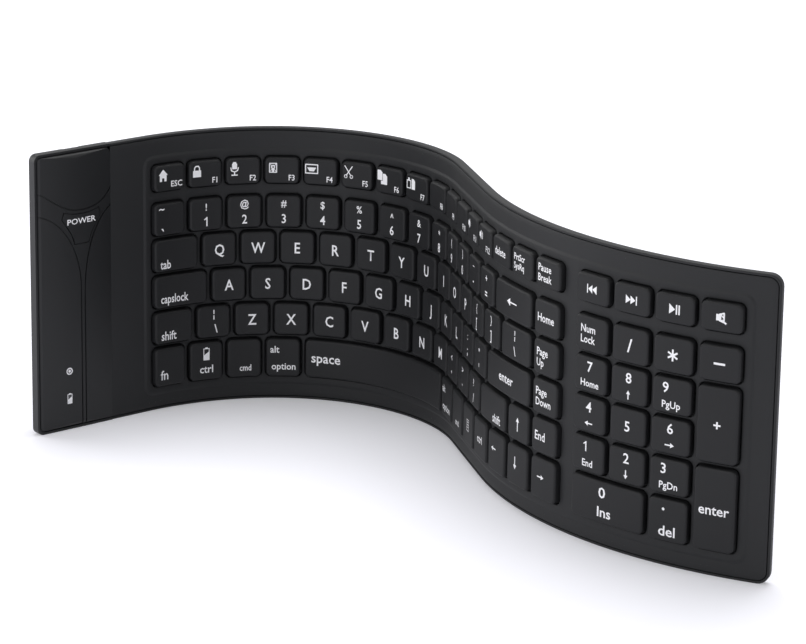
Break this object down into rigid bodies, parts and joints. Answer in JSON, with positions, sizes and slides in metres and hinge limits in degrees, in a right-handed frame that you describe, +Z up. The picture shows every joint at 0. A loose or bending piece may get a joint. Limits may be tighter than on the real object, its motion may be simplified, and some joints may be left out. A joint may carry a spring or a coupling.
{
  "type": "flexible silicone keyboard",
  "caption": "Flexible full-size silicone keyboard with a stiff electronics pod at its left end, standing on edge in a wave; it folds at two bare bands and its keys go down.",
  "frame": {"origin": "on the floor below the middle of the object's box", "axes": "+X to the right of the picture's view, +Y away from its camera, +Z up along the sheet's short side"},
  "size_m": [0.2964, 0.2278, 0.121],
  "materials": {
    "silicone": "matte",
    "key_silicone": "satin",
    "film": "satin",
    "cover": "satin",
    "board": "satin",
    "chip": "matte",
    "window": "satin",
    "connector": "matte",
    "shield_metal": "brushed",
    "cell_foil": "satin",
    "screw": "bright"
  },
  "bodies": {
    "main_section": {"main_skin": "silicone", "main_back": "silicone", "main_film": "film", "pod_web": "silicone", "pad_web": "silicone", "pod_tail": "film", "pad_tail": "film", "function_keys": "key_silicone", "number_keys": "key_silicone", "upper_letter_keys": "key_silicone", "home_letter_keys": "key_silicone", "lower_letter_keys": "key_silicone", "bottom_row_keys": "key_silicone"},
    "pod": {"pod_front_cover": "cover", "pod_back_cover": "cover", "power_switch": "shield_metal", "controller_board": "board", "board_chips": "chip", "radio_module": "shield_metal", "indicator_lamps": "window", "indicator_windows": "window", "tail_connector": "connector", "charge_socket": "shield_metal", "battery": "cell_foil", "cover_screws": "screw"},
    "number_pad": {"pad_skin": "silicone", "pad_back": "silicone", "pad_film": "film"},
    "power_key": {"power_button": "cover"},
    "esc_body": {"esc_key": "key_silicone"},
    "backspace_body": {"backspace_key": "key_silicone"},
    "tab_body": {"tab_key": "key_silicone"},
    "backslash_body": {"backslash_key": "key_silicone"},
    "caps_lock_body": {"caps_lock_key": "key_silicone"},
    "enter_body": {"enter_key": "key_silicone"},
    "left_shift_body": {"left_shift_key": "key_silicone"},
    "right_shift_body": {"right_shift_key": "key_silicone"},
    "fn_body": {"fn_key": "key_silicone"},
    "space_body": {"space_key": "key_silicone"},
    "previous_body": {"previous_key": "key_silicone"},
    "next_body": {"next_key": "key_silicone"},
    "play_body": {"play_key": "key_silicone"},
    "mute_body": {"mute_key": "key_silicone"},
    "num_lock_body": {"num_lock_key": "key_silicone"},
    "pad_divide_body": {"pad_divide_key": "key_silicone"},
    "pad_times_body": {"pad_times_key": "key_silicone"},
    "pad_minus_body": {"pad_minus_key": "key_silicone"},
    "pad_7_body": {"pad_7_key": "key_silicone"},
    "pad_8_body": {"pad_8_key": "key_silicone"},
    "pad_9_body": {"pad_9_key": "key_silicone"},
    "pad_4_body": {"pad_4_key": "key_silicone"},
    "pad_5_body": {"pad_5_key": "key_silicone"},
    "pad_6_body": {"pad_6_key": "key_silicone"},
    "pad_1_body": {"pad_1_key": "key_silicone"},
    "pad_2_body": {"pad_2_key": "key_silicone"},
    "pad_3_body": {"pad_3_key": "key_silicone"},
    "pad_plus_body": {"pad_plus_key": "key_silicone"},
    "pad_enter_body": {"pad_enter_key": "key_silicone"},
    "pad_0_body": {"pad_0_key": "key_silicone"},
    "pad_point_body": {"pad_point_key": "key_silicone"}
  },
  "joints": [
    {"name": "pod_fold", "type": "hinge", "parent": "main_section", "child": "pod", "pos_m": [-0.11444, 0.08057, 0], "axis": [0, 0, 1], "range_deg": [-60, 60], "stiffness_Nm_per_rad": 0.02, "deforming": ["pod_web", "pod_tail"]},
    {"name": "number_pad_fold", "type": "hinge", "parent": "main_section", "child": "number_pad", "pos_m": [0.07424, -0.05817, 0], "axis": [0, 0, 1], "range_deg": [-60, 60], "stiffness_Nm_per_rad": 0.02, "deforming": ["pad_web", "pad_tail"]},
    {"name": "power_button_press", "type": "slide", "parent": "pod", "child": "power_key", "axis": [-0.6428, 0.766, 0], "range_m": [0, 0.0006], "stiffness_N_per_m": 300, "springref_m": -0.0003},
    {"name": "esc_key_press", "type": "slide", "parent": "main_section", "child": "esc_body", "axis": [-0.5645, 0.8255, 0], "range_m": [0, 0.001], "stiffness_N_per_m": 250, "springref_m": -0.0005},
    {"name": "backspace_key_press", "type": "slide", "parent": "main_section", "child": "backspace_body", "axis": [0.8957, 0.4446, 0], "range_m": [0, 0.001], "stiffness_N_per_m": 250, "springref_m": -0.0005},
    {"name": "tab_key_press", "type": "slide", "parent": "main_section", "child": "tab_body", "axis": [-0.5381, 0.8429, 0], "range_m": [0, 0.001], "stiffness_N_per_m": 250, "springref_m": -0.0005},
    {"name": "backslash_key_press", "type": "slide", "parent": "main_section", "child": "backslash_body", "axis": [0.8875, 0.4608, 0], "range_m": [0, 0.001], "stiffness_N_per_m": 250, "springref_m": -0.0005},
    {"name": "caps_lock_key_press", "type": "slide", "parent": "main_section", "child": "caps_lock_body", "axis": [-0.5189, 0.8548, 0], "range_m": [0, 0.001], "stiffness_N_per_m": 250, "springref_m": -0.0005},
    {"name": "enter_key_press", "type": "slide", "parent": "main_section", "child": "enter_body", "axis": [0.9048, 0.4259, 0], "range_m": [0, 0.001], "stiffness_N_per_m": 250, "springref_m": -0.0005},
    {"name": "left_shift_key_press", "type": "slide", "parent": "main_section", "child": "left_shift_body", "axis": [-0.5495, 0.8355, 0], "range_m": [0, 0.001], "stiffness_N_per_m": 250, "springref_m": -0.0005},
    {"name": "right_shift_key_press", "type": "slide", "parent": "main_section", "child": "right_shift_body", "axis": [0.9333, 0.3592, 0], "range_m": [0, 0.001], "stiffness_N_per_m": 250, "springref_m": -0.0005},
    {"name": "fn_key_press", "type": "slide", "parent": "main_section", "child": "fn_body", "axis": [-0.5645, 0.8255, 0], "range_m": [0, 0.001], "stiffness_N_per_m": 250, "springref_m": -0.0005},
    {"name": "space_key_press", "type": "slide", "parent": "main_section", "child": "space_body", "axis": [0.6201, 0.7845, 0], "range_m": [0, 0.001], "stiffness_N_per_m": 250, "springref_m": -0.0005},
    {"name": "previous_key_press", "type": "slide", "parent": "number_pad", "child": "previous_body", "axis": [0.7315, 0.6818, 0], "range_m": [0, 0.001], "stiffness_N_per_m": 250, "springref_m": -0.0005},
    {"name": "next_key_press", "type": "slide", "parent": "number_pad", "child": "next_body", "axis": [0.6527, 0.7577, 0], "range_m": [0, 0.001], "stiffness_N_per_m": 250, "springref_m": -0.0005},
    {"name": "play_key_press", "type": "slide", "parent": "number_pad", "child": "play_body", "axis": [0.566, 0.8244, 0], "range_m": [0, 0.001], "stiffness_N_per_m": 250, "springref_m": -0.0005},
    {"name": "mute_key_press", "type": "slide", "parent": "number_pad", "child": "mute_body", "axis": [0.4725, 0.8813, 0], "range_m": [0, 0.001], "stiffness_N_per_m": 250, "springref_m": -0.0005},
    {"name": "num_lock_key_press", "type": "slide", "parent": "number_pad", "child": "num_lock_body", "axis": [0.7315, 0.6818, 0], "range_m": [0, 0.001], "stiffness_N_per_m": 250, "springref_m": -0.0005},
    {"name": "pad_divide_key_press", "type": "slide", "parent": "number_pad", "child": "pad_divide_body", "axis": [0.6527, 0.7577, 0], "range_m": [0, 0.001], "stiffness_N_per_m": 250, "springref_m": -0.0005},
    {"name": "pad_times_key_press", "type": "slide", "parent": "number_pad", "child": "pad_times_body", "axis": [0.566, 0.8244, 0], "range_m": [0, 0.001], "stiffness_N_per_m": 250, "springref_m": -0.0005},
    {"name": "pad_minus_key_press", "type": "slide", "parent": "number_pad", "child": "pad_minus_body", "axis": [0.4725, 0.8813, 0], "range_m": [0, 0.001], "stiffness_N_per_m": 250, "springref_m": -0.0005},
    {"name": "pad_7_key_press", "type": "slide", "parent": "number_pad", "child": "pad_7_body", "axis": [0.7315, 0.6818, 0], "range_m": [0, 0.001], "stiffness_N_per_m": 250, "springref_m": -0.0005},
    {"name": "pad_8_key_press", "type": "slide", "parent": "number_pad", "child": "pad_8_body", "axis": [0.6527, 0.7577, 0], "range_m": [0, 0.001], "stiffness_N_per_m": 250, "springref_m": -0.0005},
    {"name": "pad_9_key_press", "type": "slide", "parent": "number_pad", "child": "pad_9_body", "axis": [0.566, 0.8244, 0], "range_m": [0, 0.001], "stiffness_N_per_m": 250, "springref_m": -0.0005},
    {"name": "pad_4_key_press", "type": "slide", "parent": "number_pad", "child": "pad_4_body", "axis": [0.7315, 0.6818, 0], "range_m": [0, 0.001], "stiffness_N_per_m": 250, "springref_m": -0.0005},
    {"name": "pad_5_key_press", "type": "slide", "parent": "number_pad", "child": "pad_5_body", "axis": [0.6527, 0.7577, 0], "range_m": [0, 0.001], "stiffness_N_per_m": 250, "springref_m": -0.0005},
    {"name": "pad_6_key_press", "type": "slide", "parent": "number_pad", "child": "pad_6_body", "axis": [0.566, 0.8244, 0], "range_m": [0, 0.001], "stiffness_N_per_m": 250, "springref_m": -0.0005},
    {"name": "pad_1_key_press", "type": "slide", "parent": "number_pad", "child": "pad_1_body", "axis": [0.7315, 0.6818, 0], "range_m": [0, 0.001], "stiffness_N_per_m": 250, "springref_m": -0.0005},
    {"name": "pad_2_key_press", "type": "slide", "parent": "number_pad", "child": "pad_2_body", "axis": [0.6527, 0.7577, 0], "range_m": [0, 0.001], "stiffness_N_per_m": 250, "springref_m": -0.0005},
    {"name": "pad_3_key_press", "type": "slide", "parent": "number_pad", "child": "pad_3_body", "axis": [0.566, 0.8244, 0], "range_m": [0, 0.001], "stiffness_N_per_m": 250, "springref_m": -0.0005},
    {"name": "pad_plus_key_press", "type": "slide", "parent": "number_pad", "child": "pad_plus_body", "axis": [0.4725, 0.8813, 0], "range_m": [0, 0.001], "stiffness_N_per_m": 250, "springref_m": -0.0005},
    {"name": "pad_enter_key_press", "type": "slide", "parent": "number_pad", "child": "pad_enter_body", "axis": [0.4725, 0.8813, 0], "range_m": [0, 0.001], "stiffness_N_per_m": 250, "springref_m": -0.0005},
    {"name": "pad_0_key_press", "type": "slide", "parent": "number_pad", "child": "pad_0_body", "axis": [0.6931, 0.7208, 0], "range_m": [0, 0.001], "stiffness_N_per_m": 250, "springref_m": -0.0005},
    {"name": "pad_point_key_press", "type": "slide", "parent": "number_pad", "child": "pad_point_body", "axis": [0.566, 0.8244, 0], "range_m": [0, 0.001], "stiffness_N_per_m": 250, "springref_m": -0.0005}
  ]
}
